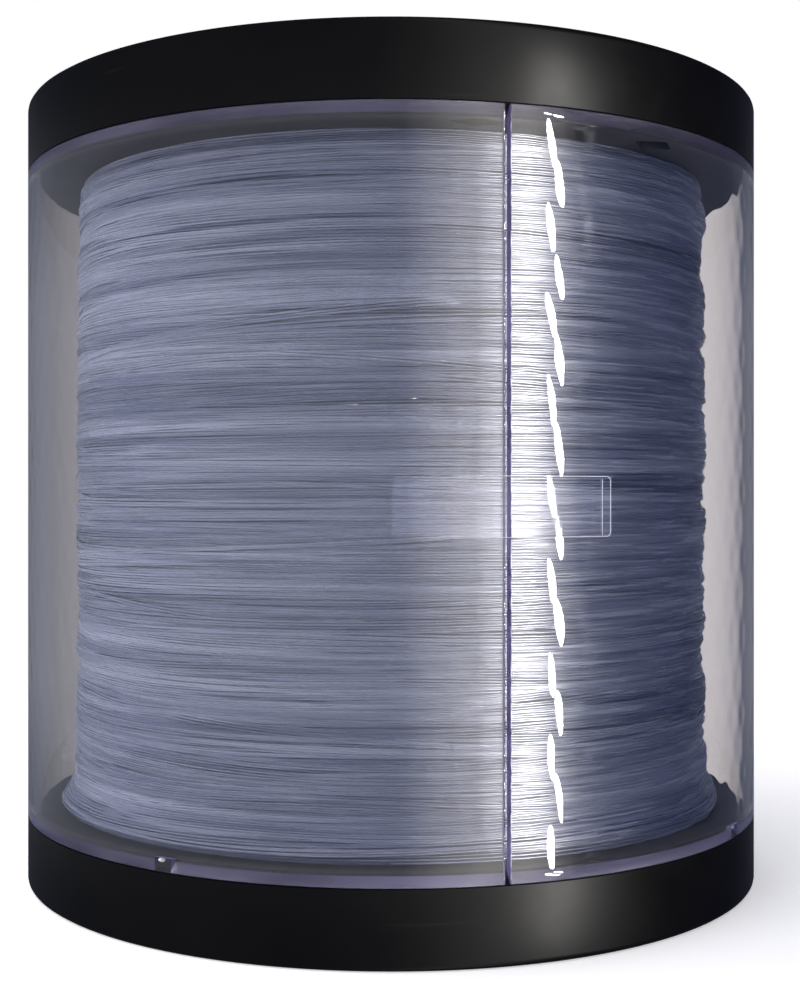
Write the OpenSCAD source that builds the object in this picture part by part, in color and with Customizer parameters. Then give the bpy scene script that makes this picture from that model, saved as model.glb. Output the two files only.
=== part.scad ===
// Bulk fishing line spool: two moulded flanges pressed onto a core tube, the
// wound line, and a clear hinged cover that seats on a bevel of each flange.
// It stands on end with its axis on +Z, its front towards -Y.

/* [Spool] */
// Outer diameter of the flanges and of the clear cover
spool_d = 115; // [105:1:125]
// Height of the whole spool
spool_h = 119; // [100:1:140]
// Height of the outer rim of each flange
rim_h = 10.4; // [9:0.1:12]
// Wall thickness of the rim
rim_wall = 2.4; // [2.2:0.1:3]
// Thickness of the web that the line lies against
web_t = 2.2; // [1.6:0.1:3]
// Number of radial ribs on the outer side of each flange
rib_count = 24; // [12:1:30]
// Thickness of each rib
rib_t = 1.2; // [0.8:0.1:1.6]
// Diameter of the arbor bore
arbor_d = 16; // [12:0.5:18]
// Outer diameter of the core tube
core_d = 48; // [44:1:54]
// Wall thickness of the core tube
core_wall = 2; // [1.5:0.1:3]

/* [Line] */
// Diameter of the wound line at mid height
line_pack_d = 99.8; // [80:0.2:100]
// How far the lowest turns spread beyond the rest
line_flare = 2.3; // [0:0.1:3]

/* [Clear cover] */
// Wall thickness of the cover
cover_wall = 1.6; // [1.2:0.1:2]
// Angle of the seam, to the right of the front
seam_angle = 14.8; // [0:0.1:40]
// Width of the open gap at the seam
seam_gap = 0.7; // [0.3:0.1:1]
// Thickness of the living hinge at the back
hinge_t = 0.4; // [0.3:0.1:0.6]
// Width of the living hinge
hinge_w = 2.4; // [1.6:0.2:4]

/* [Seal] */
// Height of the clear seal over the seam
seal_h = 7.7; // [5:0.1:12]
// Height of the seal's centre above the bottom
seal_z = 57.9; // [30:0.1:80]
// Length of the seal on each side of the seam
seal_reach = 14.7; // [8:0.1:20]
// Thickness of the seal
seal_t = 0.12; // [0.1:0.01:0.3]

/* [Hidden] */
$fn = 128;

spool_r = spool_d / 2;
arbor_r = arbor_d / 2;
core_r = core_d / 2;
line_r = line_pack_d / 2;

// Angles are counted from the front, towards the right.
front = -90;

// The bevel of a flange, which the chamfered end of the cover seats on
seat_land = 0.3;
seat_bevel = 1.65;
seat_clearance = 0.1;
face_z = rim_h + seat_bevel;
rim_in_r = spool_r - rim_wall;
rim_edge_r = 0.9;
rim_in_edge_r = 0.4;

// Hub of a flange: a cup that takes the core tube, round a tube that takes the arbor
boss_z = 1;
boss_t = 2.2;
boss_wall = 2.2;
boss_r = core_r + boss_wall;
hub_wall = 2.4;
hub_top_z = 34;
gusset_count = 6;
gusset_t = 1.6;
gusset_top_z = 26;
gusset_gap = 0.1;

// Ribs on the outer side of a flange
rib_z = 0.8;
ring_rib_r = 40.5;
rib_offset = 4.5;

// Two holes in the upper web that hold the loose end of the line
keeper_angles = [12, 42];
keeper_r = 52.7;
keeper_w = 8;
keeper_h = 4.2;

// Clear cover
cover_in_r = spool_r - cover_wall;
cover_z = rim_h + seat_clearance;
cover_h = spool_h - 2 * cover_z;
cover_chamfer = cover_wall - seat_land;
hinge_angle = seam_angle + 180;
hinge_gap = 0.04;
half_seam = arc_deg(seam_gap / 2, spool_r);
half_hinge = arc_deg(hinge_w / 2, spool_r);
half_hinge_gap = arc_deg(hinge_gap / 2, spool_r);

// Moulding gates: four recesses in the lower chamfer of the cover
gate_count = 4;
gate_angle = -31;
gate_w = 3;
gate_foot_w = 1.8;
gate_h = 1.7;
gate_wall = 0.35;

// Label on the end of each hub
label_t = 0.25;
label_in_r = arbor_r + 3.2;
label_out_r = boss_r - 1;
label_gap = 0.2;

// Tape that holds the start of the line on the core
tape_t = 0.15;
tape_h = 14;
tape_z = 20;
tape_arc = 50;
tape_angle = 160;

seal_lift = 0.08;
seal_corner = 0.6;

function arc_deg(length, radius) = length / radius * 180 / PI;

// Draws its children turned to an angle counted from the front towards the right.
module at_angle(angle) {
    rotate([0, 0, front + angle]) children();
}

// Part of a ring: its section is drawn in the plane of radius and height.
module ring_part(from, to) {
    at_angle(from) rotate_extrude(angle = to - from) children();
}

// Rectangle in the plane of radius and height
module band(r_in, r_out, z_low, z_high) {
    translate([r_in, z_low]) square([r_out - r_in, z_high - z_low]);
}

// What is cut from a square corner to round it: the corner points along dir.
module corner_cut(r, z, dir, radius) {
    translate([r - radius * dir[0], z - radius * dir[1]]) difference() {
        translate([dir[0] > 0 ? 0 : -radius, dir[1] > 0 ? 0 : -radius]) square(radius);
        circle(radius);
    }
}

module flange_section() {
    difference() {
        polygon([
            [rim_in_r, 0], [spool_r, 0], [spool_r, rim_h], [spool_r - seat_land, rim_h],
            [spool_r - seat_land - seat_bevel, face_z], [rim_in_r, face_z]
        ]);
        corner_cut(spool_r, 0, [1, -1], rim_edge_r);
        corner_cut(rim_in_r, 0, [-1, -1], rim_in_edge_r);
    }
    band(core_r, rim_in_r + rim_in_edge_r, face_z - web_t, face_z);
    difference() {
        union() {
            band(arbor_r, boss_r, boss_z, boss_z + boss_t);
            band(core_r, boss_r, boss_z, face_z);
        }
        band(label_in_r - label_gap, label_out_r + label_gap, 0, boss_z + label_t);
    }
    band(arbor_r, arbor_r + hub_wall, boss_z, hub_top_z);
}

module radial_rib(r_in, r_out, z_low, z_high, thickness) {
    translate([r_in, -thickness / 2, z_low]) cube([r_out - r_in, thickness, z_high - z_low]);
}

// One flange as it lies at the bottom: outer side down, web up
module flange() {
    rotate_extrude() flange_section();
    for (i = [0 : rib_count - 1])
        at_angle(rib_offset + i * 360 / rib_count)
            radial_rib(boss_r - 0.5, rim_in_r + 0.5, rib_z, face_z - web_t / 2, rib_t);
    rotate_extrude() band(ring_rib_r - rib_t / 2, ring_rib_r + rib_t / 2, rib_z, face_z - web_t / 2);
    for (i = [0 : gusset_count - 1])
        at_angle(rib_offset + i * 360 / gusset_count)
            radial_rib(arbor_r + hub_wall / 2, core_r - core_wall - gusset_gap,
                boss_z + boss_t / 2, gusset_top_z, gusset_t);
}

// Places its children at the top end, upside down.
module at_top() {
    translate([0, 0, spool_h]) mirror([0, 0, 1]) children();
}

module lower_flange() {
    color([0.07, 0.07, 0.08]) flange();
}

module upper_flange() {
    color([0.07, 0.07, 0.08]) difference() {
        at_top() flange();
        for (angle = keeper_angles)
            at_angle(angle)
                translate([keeper_r, 0, spool_h - face_z - 1])
                    linear_extrude(web_t + 2)
                        polygon([[-keeper_h / 2, 0], [0, -keeper_w / 2], [keeper_h / 2, 0], [0, keeper_w / 2]]);
    }
}

module core_tube() {
    color([0.16, 0.16, 0.17])
        rotate_extrude()
            band(core_r - core_wall, core_r, boss_z + boss_t, spool_h - boss_z - boss_t);
}

module tape_shape() {
    ring_part(tape_angle, tape_angle + tape_arc) band(core_r, core_r + tape_t, tape_z, tape_z + tape_h);
}

module start_tape() {
    color([0.85, 0.80, 0.62]) tape_shape();
}

// The line as one solid: the lowest turns spread outwards and the top ones draw in a little.
module line_winding() {
    top_z = spool_h - face_z;
    color([0.55, 0.60, 0.70]) difference() {
        rotate_extrude() polygon([
            [core_r, face_z], [line_r + line_flare, face_z], [line_r + line_flare * 0.7, face_z + 1.6],
            [line_r + 0.1, face_z + 4.5], [line_r - 0.2, face_z + 24], [line_r, spool_h / 2],
            [line_r - 0.1, top_z - 20], [line_r - 0.6, top_z], [core_r, top_z]
        ]);
        tape_shape();
    }
}

module cover_section() {
    polygon([
        [spool_r - seat_land, cover_z], [spool_r, cover_z],
        [spool_r, cover_z + cover_h], [spool_r - seat_land, cover_z + cover_h],
        [cover_in_r, cover_z + cover_h - cover_chamfer], [cover_in_r, cover_z + cover_chamfer]
    ]);
}

// Recess in the lower chamfer, wider at its top, which leaves a thin outer wall
module gate_recess() {
    depth = cover_wall - gate_wall + 1;
    translate([cover_in_r - 1, 0, cover_z - 0.5])
        rotate([90, 0, 90])
            linear_extrude(depth)
                polygon([
                    [-gate_w / 2, 0], [gate_foot_w / 2, 0],
                    [gate_w / 2, gate_h + 0.5], [-gate_w / 2, gate_h + 0.5]
                ]);
}

// Half of the cover, between two angles, thinned to the living hinge between two others.
module cover_half(from, to, hinge_from, hinge_to) {
    color([0.80, 0.80, 0.92, 0.3]) difference() {
        ring_part(from, to) cover_section();
        ring_part(hinge_from, hinge_to) band(cover_in_r - 1, spool_r - hinge_t, 0, spool_h);
        for (i = [0 : gate_count - 1])
            at_angle(gate_angle + i * 360 / gate_count) gate_recess();
    }
}

module cover_right() {
    hinge_end = hinge_angle - half_hinge_gap;
    cover_half(seam_angle + half_seam, hinge_end, hinge_angle - half_hinge, hinge_end + 1);
}

module cover_left() {
    hinge_end = hinge_angle + half_hinge_gap;
    cover_half(hinge_end, seam_angle + 360 - half_seam, hinge_end - 1, hinge_angle + half_hinge);
}

// Clear strip over the seam: it is stuck to the right half and bears on the left half.
module seam_seal() {
    color([0.85, 0.86, 0.90, 0.4]) {
        intersection() {
            seal_outline();
            rotate_extrude() band(spool_r + seal_lift, spool_r + seal_lift + seal_t, 0, spool_h);
        }
        intersection() {
            seal_outline();
            ring_part(seam_angle + half_seam, seam_angle + 2 * arc_deg(seal_reach, spool_r))
                band(spool_r, spool_r + seal_lift + seal_t / 2, 0, spool_h);
        }
    }
}

// The seal's outline, extended through the cover
module seal_outline() {
    width = 2 * spool_r * sin(arc_deg(seal_reach, spool_r));
    at_angle(seam_angle)
        translate([spool_r - 5, 0, seal_z])
            rotate([90, 0, 90])
                linear_extrude(10) rounded_rect(width, seal_h, seal_corner);
}

module rounded_rect(width, height, corner) {
    square([width - 2 * corner, height], center = true);
    square([width, height - 2 * corner], center = true);
    for (x = [-1, 1], y = [-1, 1])
        translate([x * (width / 2 - corner), y * (height / 2 - corner)]) circle(corner);
}

module label() {
    color([0.92, 0.92, 0.90]) rotate_extrude() band(label_in_r, label_out_r, boss_z, boss_z + label_t);
}

module lower_label() {
    label();
}

module upper_label() {
    at_top() label();
}

lower_flange();
upper_flange();
core_tube();
start_tape();
line_winding();
cover_left();
cover_right();
seam_seal();
lower_label();
upper_label();
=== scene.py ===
"""Fishing line spool: how every piece looks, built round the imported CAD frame.

Metres, +Z up along the spool's axis, front towards -Y. Angles are in degrees from the
front towards the right, so that a point at angle a lies at (r sin a, -r cos a).
"""
import math

import bmesh
import bpy
import numpy as np
from mathutils import Matrix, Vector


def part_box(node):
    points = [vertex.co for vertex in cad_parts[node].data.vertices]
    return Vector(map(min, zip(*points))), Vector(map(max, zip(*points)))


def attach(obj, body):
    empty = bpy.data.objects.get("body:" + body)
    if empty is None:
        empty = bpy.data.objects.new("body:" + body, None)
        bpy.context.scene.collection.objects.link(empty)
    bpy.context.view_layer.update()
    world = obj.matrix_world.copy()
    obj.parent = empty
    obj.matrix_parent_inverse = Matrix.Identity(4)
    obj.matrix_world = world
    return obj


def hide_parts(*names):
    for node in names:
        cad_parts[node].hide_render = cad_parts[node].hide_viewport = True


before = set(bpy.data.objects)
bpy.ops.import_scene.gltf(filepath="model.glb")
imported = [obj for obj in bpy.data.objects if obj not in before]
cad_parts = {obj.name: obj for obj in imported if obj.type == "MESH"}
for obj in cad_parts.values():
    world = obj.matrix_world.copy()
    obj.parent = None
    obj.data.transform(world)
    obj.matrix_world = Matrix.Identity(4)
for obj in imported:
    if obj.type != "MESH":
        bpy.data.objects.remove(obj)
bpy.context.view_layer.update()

MM = 0.001

# ---------------------------------------------------------------- sizes from the frame

_, flange_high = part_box("lower_flange")
_, upper_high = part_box("upper_flange")
cover_low, cover_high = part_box("cover_left")
pack_low, pack_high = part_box("line_winding")
_, core_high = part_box("core_tube")
seal_low, seal_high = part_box("seam_seal")
label_low, label_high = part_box("lower_label")

SPOOL_R = flange_high.x
SPOOL_H = upper_high.z
COVER_Z0, COVER_Z1 = cover_low.z, cover_high.z
FACE_Z0, FACE_Z1 = pack_low.z, pack_high.z
CORE_R = core_high.x
HUB_TOP = flange_high.z
BOSS_Z = label_low.z
LABEL_T = label_high.z - label_low.z
LABEL_R = label_high.x
MID_Z = SPOOL_H / 2

# Sizes that the boxes don't show, the same as in the design
COVER_WALL = 1.6 * MM
SEAT_LAND = 0.3 * MM
RIM_H = 10.4 * MM
RIM_WALL = 2.4 * MM
WEB_T = 2.2 * MM
BOSS_T = 2.2 * MM
BOSS_WALL = 2.2 * MM
HUB_WALL = 2.4 * MM
ARBOR_R = 8.0 * MM
LABEL_IN_R = ARBOR_R + 3.2 * MM
LABEL_GAP = 0.2 * MM
RIB_COUNT = 24
RIB_T = 1.2 * MM
RIB_Z = 0.8 * MM
RIB_OFFSET = 4.5
RIB_SINK = 0.6 * MM
RING_RIB_R = 40.5 * MM
GUSSET_COUNT = 6
GUSSET_TOP = 26 * MM
GUSSET_T = 1.6 * MM
GUSSET_GAP = 2.1 * MM
KEEPER_ANGLES = (12.0, 42.0)
KEEPER_R = 52.7 * MM
KEEPER_W = 8.0 * MM
KEEPER_H = 4.2 * MM
SEAM_ANGLE = 14.8
SEAM_GAP = 0.7 * MM
HINGE_ANGLE = SEAM_ANGLE + 180
HINGE_T = 0.4 * MM
HINGE_W = 2.4 * MM
HINGE_RUN = 0.9 * MM
HINGE_GAP = 0.04 * MM
GATE_ANGLES = (-31.0, 59.0, 149.0, 239.0)
SEAL_REACH = 14.7 * MM
SEAL_H = seal_high.z - seal_low.z
SEAL_Z = (seal_high.z + seal_low.z) / 2
SEAL_T = 0.12 * MM
SEAL_LIFT = 0.08 * MM
SEAL_CORNER = 0.6 * MM


# ---------------------------------------------------------------- mesh tools

def polar(r, degrees, z):
    """Point at a radius, an angle from the front and a height; takes arrays too."""
    a = np.radians(degrees)
    return np.stack(np.broadcast_arrays(r * np.sin(a), -r * np.cos(a), z), axis=-1)


def arc_deg(length):
    """Angle in degrees that a length round the spool's outside covers."""
    return math.degrees(length / SPOOL_R)


def axes_at(angle):
    """Unit vectors outward and sideways at an angle from the front."""
    a = math.radians(angle)
    return np.array([math.sin(a), -math.cos(a), 0]), np.array([math.cos(a), math.sin(a), 0])


def eased(t):
    """Smooth start and stop for a number that runs from 0 to 1."""
    return t * t * (3 - 2 * t)


def add_object(name, data):
    """New object in the scene."""
    obj = bpy.data.objects.new(name, data)
    bpy.context.scene.collection.objects.link(obj)
    return obj


def mesh_object(name, points, faces, material, sharp_deg=None):
    """New object from an array of points and a list of arrays of faces with equal sides."""
    mesh = bpy.data.meshes.new(name)
    points = np.asarray(points, np.float32).reshape(-1, 3)
    groups = [np.asarray(f, np.int32) for f in faces if len(f)]
    loops = np.concatenate([g.ravel() for g in groups])
    sides = np.concatenate([np.full(len(g), g.shape[1], np.int32) for g in groups])
    starts = np.concatenate([[0], np.cumsum(sides)[:-1]]).astype(np.int32)
    mesh.vertices.add(len(points))
    mesh.vertices.foreach_set("co", points.ravel())
    mesh.loops.add(len(loops))
    mesh.loops.foreach_set("vertex_index", loops)
    mesh.polygons.add(len(sides))
    mesh.polygons.foreach_set("loop_start", starts)
    mesh.polygons.foreach_set("loop_total", sides)
    mesh.update(calc_edges=True)
    mesh.validate()
    obj = add_object(name, mesh)
    finish_mesh(obj, material, sharp_deg)
    return obj


def finish_mesh(obj, material, sharp_deg=None):
    """Smooth shading, sharp only where faces meet at more than sharp_deg, and one material."""
    mesh = obj.data
    mesh.shade_smooth()
    if sharp_deg is not None:
        mesh.set_sharp_from_angle(angle=math.radians(sharp_deg))
    mesh.materials.clear()
    mesh.materials.append(material)


def grid_faces(rows, cols, wrap_rows=False, wrap_cols=False, start=0):
    """Quads of a grid of points stored row by row."""
    r = np.arange(rows if wrap_rows else rows - 1)
    c = np.arange(cols if wrap_cols else cols - 1)
    r, c = np.meshgrid(r, c, indexing="ij")
    r1, c1 = (r + 1) % rows, (c + 1) % cols
    quads = np.stack([r * cols + c, r * cols + c1, r1 * cols + c1, r1 * cols + c], axis=-1)
    return quads.reshape(-1, 4) + start


def loft_faces(rings, sides, flipped=False):
    """Faces of a closed body through rings of points: its sides, and its flat end caps, which
    face the other way if flipped."""
    last = (rings - 1) * sides
    step = 1 if flipped else -1
    caps = [list(range(sides))[::step], list(range(last, last + sides))[::-step]]
    return [grid_faces(rings, sides, False, True), caps]


def rounded_outline(corners, steps=3):
    """Closed outline of (a, b, radius) corners with each corner rounded by an arc."""
    out = []
    n = len(corners)
    for i, (x, y, radius) in enumerate(corners):
        here = np.array([x, y])
        before = np.array(corners[i - 1][:2]) - here
        after = np.array(corners[(i + 1) % n][:2]) - here
        before /= np.linalg.norm(before)
        after /= np.linalg.norm(after)
        if radius <= 0:
            out.append(here)
            continue
        half = math.acos(max(-1, min(1, float(before @ after)))) / 2
        reach = radius / math.tan(half)
        centre = here + (before + after) / np.linalg.norm(before + after) * radius / math.sin(half)
        first = here + before * reach - centre
        last = here + after * reach - centre
        a0 = math.atan2(first[1], first[0])
        turn = (math.atan2(last[1], last[0]) - a0 + math.pi) % (2 * math.pi) - math.pi
        for k in range(steps + 1):
            a = a0 + turn * k / steps
            out.append(centre + radius * np.array([math.cos(a), math.sin(a)]))
    return np.array(out)


def split_long(outline, longest):
    """Closed outline with points added, so that no stretch is longer than given."""
    out = []
    for i in range(len(outline)):
        a, b = outline[i], outline[(i + 1) % len(outline)]
        pieces = max(1, int(math.ceil(np.linalg.norm(b - a) / longest)))
        out += [a + (b - a) * k / pieces for k in range(pieces)]
    return np.array(out)


def lathe(name, outline, segments, material, sharp_deg=35):
    """Closed ring with the outline of (radius, height) points as its section."""
    angles = np.arange(segments) * 360 / segments
    points = polar(outline[None, :, 0], angles[:, None], outline[None, :, 1])
    faces = [grid_faces(segments, len(outline), True, True)]
    return mesh_object(name, points, faces, material, sharp_deg)


def tube_mesh(path, radius, sides, closed=False):
    """Points and faces of a tube along a path, with flat caps unless it is a closed loop."""
    path = np.asarray(path, float)
    ahead = np.roll(path, -1, axis=0) - np.roll(path, 1, axis=0)
    if not closed:
        ahead[0], ahead[-1] = path[1] - path[0], path[-1] - path[-2]
    ahead /= np.linalg.norm(ahead, axis=1)[:, None]
    out = path * np.array([1.0, 1.0, 0.0])
    out /= np.linalg.norm(out, axis=1)[:, None]
    side = np.cross(ahead, out)
    side /= np.linalg.norm(side, axis=1)[:, None]
    out = np.cross(side, ahead)
    a = np.arange(sides) * 2 * math.pi / sides
    rings = path[:, None] + radius * (
        np.cos(a)[None, :, None] * out[:, None] + np.sin(a)[None, :, None] * side[:, None]
    )
    count = len(path)
    faces = [grid_faces(count, sides, True, True)] if closed else loft_faces(count, sides)
    return rings.reshape(-1, 3), faces


def joined(name, parts, material, sharp_deg=None):
    """One object from several (points, faces) meshes."""
    points, faces, start = [], [], 0
    for part_points, part_faces in parts:
        part_points = np.asarray(part_points).reshape(-1, 3)
        points.append(part_points)
        faces += [np.asarray(f) + start for f in part_faces]
        start += len(part_points)
    return mesh_object(name, np.concatenate(points), faces, material, sharp_deg)


def boolean(obj, operation, tool):
    """Cuts the tool from obj or joins it to obj, and removes it."""
    mod = obj.modifiers.new("cut", "BOOLEAN")
    mod.object = tool
    mod.operation = operation
    mod.solver = "EXACT"
    depsgraph = bpy.context.evaluated_depsgraph_get()
    mesh = bpy.data.meshes.new_from_object(obj.evaluated_get(depsgraph), depsgraph=depsgraph)
    obj.modifiers.clear()
    obj.data = mesh
    bpy.data.objects.remove(tool)


# ---------------------------------------------------------------- materials

NYLON_IOR = 1.53
COVER_IOR = 1.53
DEEP_BAND = 0.64 * MM


def new_material(name, values):
    """New material, with its node tree and its shader, whose own sockets get the values."""
    mat = bpy.data.materials.new(name)
    mat.use_nodes = True
    shader = mat.node_tree.nodes["Principled BSDF"]
    for key, value in values.items():
        shader.inputs[key].default_value = value
    return mat, mat.node_tree, shader


def node(tree, kind, inputs=None, **settings):
    """New node with its settings, and its inputs set to values or linked to sockets."""
    made = tree.nodes.new(kind)
    for key, value in settings.items():
        setattr(made, key, value)
    for key, value in (inputs or {}).items():
        if isinstance(value, bpy.types.NodeSocket):
            tree.links.new(value, made.inputs[key])
        else:
            made.inputs[key].default_value = value
    return made


def object_place(tree):
    """Object coordinates, in metres."""
    return node(tree, "ShaderNodeTexCoord").outputs["Object"]


def position(tree, scale=(1, 1, 1), turn=(0, 0, 0)):
    """Object coordinates, turned and stretched."""
    inputs = {"Vector": object_place(tree), "Rotation": turn, "Scale": scale}
    return node(tree, "ShaderNodeMapping", inputs).outputs["Vector"]


def coordinate(tree, axis):
    """One of the object coordinates, by the name of its axis."""
    return node(tree, "ShaderNodeSeparateXYZ", {0: object_place(tree)}).outputs[axis]


def axis_distance(tree):
    """Distance from the spool's axis."""
    across = {0: object_place(tree), 1: (1.0, 1.0, 0.0)}
    flat = node(tree, "ShaderNodeVectorMath", across, operation="MULTIPLY")
    return vector_length(tree, flat.outputs[0])


def vector_length(tree, vector):
    return node(tree, "ShaderNodeVectorMath", {0: vector}, operation="LENGTH").outputs["Value"]


def noise(tree, vector, scale, detail=3.0, roughness=0.5):
    """Noise from 0 to 1, most of it between 0.3 and 0.7."""
    inputs = {"Vector": vector, "Scale": scale, "Detail": detail, "Roughness": roughness}
    return node(tree, "ShaderNodeTexNoise", inputs).outputs["Fac"]


def remap(tree, value, low, high, to_low, to_high):
    """The value moved from one range to another, and held at the new range's ends."""
    inputs = {"Value": value, "From Min": low, "From Max": high,
              "To Min": to_low, "To Max": to_high}
    return node(tree, "ShaderNodeMapRange", inputs).outputs["Result"]


def maths(tree, operation, a, b=0.0):
    return node(tree, "ShaderNodeMath", {0: a, 1: b}, operation=operation).outputs[0]


def mix_colours(tree, factor, a, b):
    """Mix of two colours, each a plain colour or a socket."""
    made = node(tree, "ShaderNodeMix", {"Factor": factor}, data_type="RGBA")
    sockets = [s for s in made.inputs if s.type == "RGBA"]
    for socket, colour in zip(sockets, (a, b)):
        if isinstance(colour, bpy.types.NodeSocket):
            tree.links.new(colour, socket)
        else:
            socket.default_value = (*colour, 1)
    return next(s for s in made.outputs if s.type == "RGBA")


def bump(tree, height, strength, distance, normal=None):
    inputs = {"Height": height, "Strength": strength, "Distance": distance}
    if normal is not None:
        inputs["Normal"] = normal
    return node(tree, "ShaderNodeBump", inputs).outputs["Normal"]


def set_surface(tree, shader, colour, roughness, normal=None):
    """Links what varies over a surface to its shader."""
    tree.links.new(colour, shader.inputs["Base Color"])
    tree.links.new(roughness, shader.inputs["Roughness"])
    if normal is not None:
        tree.links.new(normal, shader.inputs["Normal"])


def mix_shaders(tree, factor, a, b):
    """Sends the mix of two shaders to the material's output."""
    mixed = node(tree, "ShaderNodeMixShader", {0: factor, 1: a.outputs[0], 2: b.outputs[0]})
    tree.links.new(mixed.outputs[0], tree.nodes["Material Output"].inputs["Surface"])


def open_to_lamps(tree, shader, tint):
    """Lets the light of lamps and matt surfaces pass with only a tint, and shows the shader."""
    rays = node(tree, "ShaderNodeLightPath").outputs
    lamp_side = maths(tree, "MAXIMUM", rays["Is Shadow Ray"], rays["Is Diffuse Ray"])
    open_side = node(tree, "ShaderNodeBsdfTransparent", {"Color": (*tint, 1)})
    mix_shaders(tree, lamp_side, shader, open_side)


def black_plastic():
    """Moulded plastic: near black and satin, with a fine grain, hairline scratches and rubbed
    spots, and duller everywhere inside the rim's outer skin."""
    mat, tree, shader = new_material("black_moulding", {"Specular IOR Level": 0.09})
    grain = noise(tree, position(tree), 5200.0, 2.0)
    cloud = noise(tree, position(tree), 42.0, 4.0, 0.6)
    scratches = None
    for tilt, stretch in ((0.35, 900.0), (-0.6, 700.0)):
        turned = position(tree, (30.0, 30.0, stretch), (0.4, tilt, tilt * 2))
        lines = remap(tree, noise(tree, turned, 1.0, 2.0), 0.70, 0.78, 0.0, 1.0)
        scratches = lines if scratches is None else maths(tree, "MAXIMUM", scratches, lines)
    patches = remap(tree, noise(tree, position(tree), 65.0, 2.0), 0.52, 0.68, 0.0, 1.0)
    worn = maths(tree, "MULTIPLY", scratches, patches)
    cloudy, rubbed = maths(tree, "MULTIPLY", cloud, 0.5), maths(tree, "MULTIPLY", worn, 0.8)
    tone = maths(tree, "ADD", cloudy, rubbed)
    skin = mix_colours(tree, tone, (0.0014, 0.0014, 0.0020), (0.0060, 0.0060, 0.0070))
    inside = remap(tree, axis_distance(tree), SPOOL_R - 1.2 * MM, SPOOL_R - 0.8 * MM, 1.0, 0.0)
    dull = mix_colours(tree, cloud, (0.016, 0.016, 0.018), (0.034, 0.034, 0.037))
    rough = remap(tree, cloud, 0.3, 0.7, 0.30, 0.42)
    rough = maths(tree, "ADD", rough, maths(tree, "MULTIPLY", worn, 0.18))
    normal = bump(tree, worn, 0.25, 0.03 * MM, bump(tree, grain, 0.10, 0.02 * MM))
    set_surface(tree, shader, mix_colours(tree, inside, skin, dull), rough, normal)
    return mat


def line_plastic():
    """Monofilament: glossy grey-blue nylon, with painted light and shade in stripes and painted
    shade between turns.
    """
    mat, tree, shader = new_material("monofilament", {"IOR": 1.8})
    painted_depth_bands = noise(tree, position(tree, (9.0, 9.0, 460.0)), 1.0, 3.0, 0.6)
    fine = noise(tree, position(tree, (60.0, 60.0, 2600.0)), 1.0, 2.0)
    painted_streaks = noise(tree, position(tree, (26.0, 26.0, 1500.0)), 1.0, 2.0, 0.5)
    # Painted light and shade of turns lying higher or deeper, and painted shade in dark lines
    # between turns
    tone = remap(tree, painted_depth_bands, 0.34, 0.66, 0.0, 0.9)
    tone = maths(tree, "ADD", tone, remap(tree, fine, 0.3, 0.7, -0.1, 0.2))
    tone = maths(tree, "SUBTRACT", tone, remap(tree, painted_streaks, 0.60, 0.72, 0.0, 1.0))
    colour = mix_colours(tree, tone, (0.085, 0.105, 0.185), (0.265, 0.29, 0.39))
    rough = remap(tree, fine, 0.3, 0.7, 0.20, 0.31)
    set_surface(tree, shader, colour, rough, bump(tree, fine, 0.15, 0.02 * MM))
    return mat


def shaded_deep_line():
    """The turns below the surface: painted darker as shade under the outer turns, with painted
    shade in grooves about two turns apart.
    """
    mat, tree, shader = new_material("monofilament_deep", {"IOR": NYLON_IOR})
    inputs = {"Vector": object_place(tree), "Scale": 1 / DEEP_BAND / math.pi,
              "Distortion": 1.2, "Detail": 2.0, "Detail Scale": 0.4}
    wave = node(tree, "ShaderNodeTexWave", inputs, wave_type="BANDS", bands_direction="Z")
    rings = wave.outputs["Fac"]
    # Painted shade: dark in the grooves, lighter on the turns between them
    colour = mix_colours(tree, rings, (0.05, 0.06, 0.11), (0.13, 0.15, 0.25))
    rough = remap(tree, rings, 0.0, 1.0, 0.55, 0.3)
    set_surface(tree, shader, colour, rough, bump(tree, rings, 0.6, 0.2 * MM))
    return mat


def clear_plastic(name, tint, absorb, density, rough, ior):
    """Clear plastic that lets the lamps through, with smudges, a faint unevenness and, where
    density isn't 0, a tint that deepens with the length of its wall."""
    mat, tree, shader = new_material(
        name, {"Base Color": (*tint, 1), "Transmission Weight": 1.0, "IOR": ior}
    )
    smudge = noise(tree, position(tree), 55.0, 3.0, 0.6)
    tree.links.new(remap(tree, smudge, 0.45, 0.75, rough, rough * 2.5), shader.inputs["Roughness"])
    uneven = noise(tree, position(tree, (1.0, 1.0, 0.4)), 240.0, 1.0)
    tree.links.new(bump(tree, uneven, 0.05, 0.1 * MM), shader.inputs["Normal"])
    open_to_lamps(tree, shader, tint)
    if density:
        inputs = {"Color": (*absorb, 1), "Density": density}
        volume = node(tree, "ShaderNodeVolumeAbsorption", inputs)
        tree.links.new(volume.outputs[0], tree.nodes["Material Output"].inputs["Volume"])
    return mat


def edge_plastic(name, dark, light, clear):
    """The cover's chamfers and cut ends: a violet tint with painted light that stands in for the
    light the wall carries along its length, painted in streaky patches and brightest at the foot."""
    mat, tree, shader = new_material(
        name, {"Transmission Weight": clear, "Specular IOR Level": 0.10, "IOR": COVER_IOR}
    )
    painted_streaks = noise(tree, position(tree, (14.0, 14.0, 60.0)), 1.0, 3.0, 0.6)
    # Painted light: brightest at the foot, down to 0.3 of it towards the top
    shade = remap(tree, coordinate(tree, "Z"), SPOOL_H * 0.2, SPOOL_H * 0.8, 1.0, 0.3)
    tone = maths(tree, "MULTIPLY", remap(tree, painted_streaks, 0.36, 0.66, 0.1, 1.0), shade)
    rough = remap(tree, painted_streaks, 0.3, 0.7, 0.22, 0.36)
    set_surface(tree, shader, mix_colours(tree, tone, dark, light), rough)
    open_to_lamps(tree, shader, (0.9, 0.89, 0.95))
    return mat


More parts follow.
